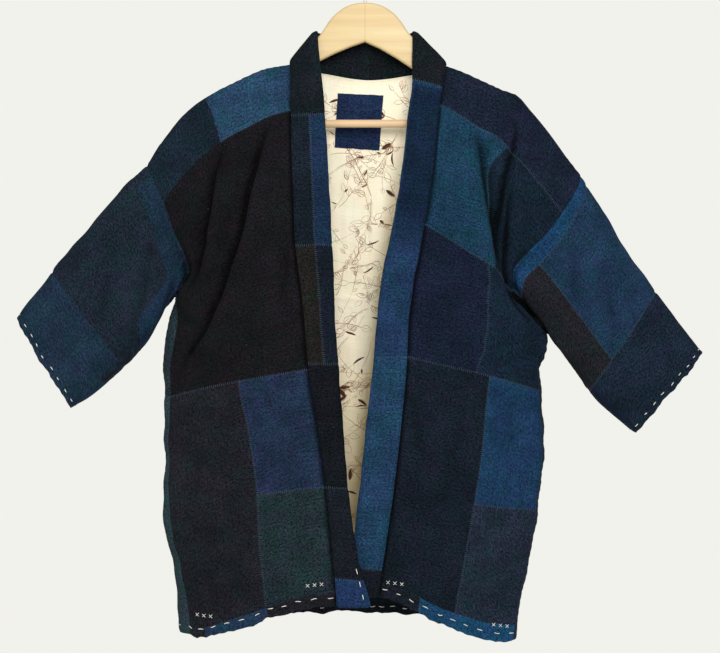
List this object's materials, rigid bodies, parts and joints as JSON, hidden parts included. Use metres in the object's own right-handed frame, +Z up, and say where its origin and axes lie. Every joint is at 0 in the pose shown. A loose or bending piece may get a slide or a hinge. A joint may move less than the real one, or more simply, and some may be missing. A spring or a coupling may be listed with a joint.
{
  "type": "patched indigo jacket on a wooden hanger",
  "caption": "Short open-fronted jacket of patched dark indigo cotton with a pale printed lining, wide sleeves and a plain band collar, hung on a flat wooden hanger.",
  "frame": {"origin": "inside top of the hook, where the hanger is held", "axes": "+Z up, -Y the way the open front faces, +X to the wearer's left"},
  "size_m": [0.9598, 0.1066, 0.9575],
  "materials": {
    "charcoal": "worn matt cotton",
    "indigo_dark": "worn matt cotton",
    "indigo_mid": "worn matt cotton",
    "indigo_blue": "worn matt cotton",
    "teal": "worn matt cotton",
    "green": "worn matt cotton",
    "olive": "worn matt cotton",
    "lining": "soft printed cotton",
    "label": "matt cotton",
    "wood": "pale sanded wood",
    "wire": "bright drawn wire"
  },
  "bodies": {
    "root": {"right_front_chest": "charcoal", "right_front_shoulder": "indigo_blue", "right_front_outer_shoulder": "indigo_mid", "right_front_skirt": "indigo_dark", "right_front_blue": "indigo_blue", "right_front_green": "green", "right_hem_dark": "indigo_dark", "right_hem_blue": "indigo_blue", "left_front_shoulder": "indigo_dark", "left_front_teal": "teal", "left_front_outer_chest": "indigo_mid", "left_front_breast": "indigo_mid", "left_front_flank": "indigo_mid", "left_front_skirt": "indigo_dark", "left_front_blue": "indigo_blue", "left_front_green": "green", "left_hem_dark": "indigo_dark", "left_hem_blue": "indigo_blue", "right_back_upper": "indigo_mid", "right_back_lower": "indigo_dark", "right_back_hem": "charcoal", "left_back_upper": "indigo_dark", "left_back_lower": "indigo_mid", "left_back_hem": "charcoal", "right_gusset_upper": "teal", "right_gusset_lower": "teal", "left_gusset": "indigo_dark", "right_sleeve_main": "indigo_mid", "right_sleeve_cuff": "teal", "right_sleeve_strip": "teal", "right_sleeve_underarm": "indigo_blue", "right_sleeve_dark": "charcoal", "left_sleeve_main": "indigo_mid", "left_sleeve_strip": "indigo_blue", "left_sleeve_olive": "olive", "left_sleeve_cuff": "indigo_dark", "collar_right_top": "indigo_dark", "collar_right_teal": "indigo_mid", "collar_right_light_strip": "indigo_blue", "collar_right_olive": "olive", "collar_right_navy_strip": "indigo_mid", "collar_right_black": "charcoal", "collar_right_navy": "indigo_dark", "collar_right_end": "indigo_blue", "collar_left_top": "charcoal", "collar_left_deep_blue": "indigo_mid", "collar_left_light_blue": "indigo_blue", "collar_left_end": "indigo_dark", "lining_right": "lining", "lining_left": "lining", "label": "label", "hanger_wood": "wood", "hanger_bar": "wood", "hanger_hook": "wire"}
  },
  "joints": []
}
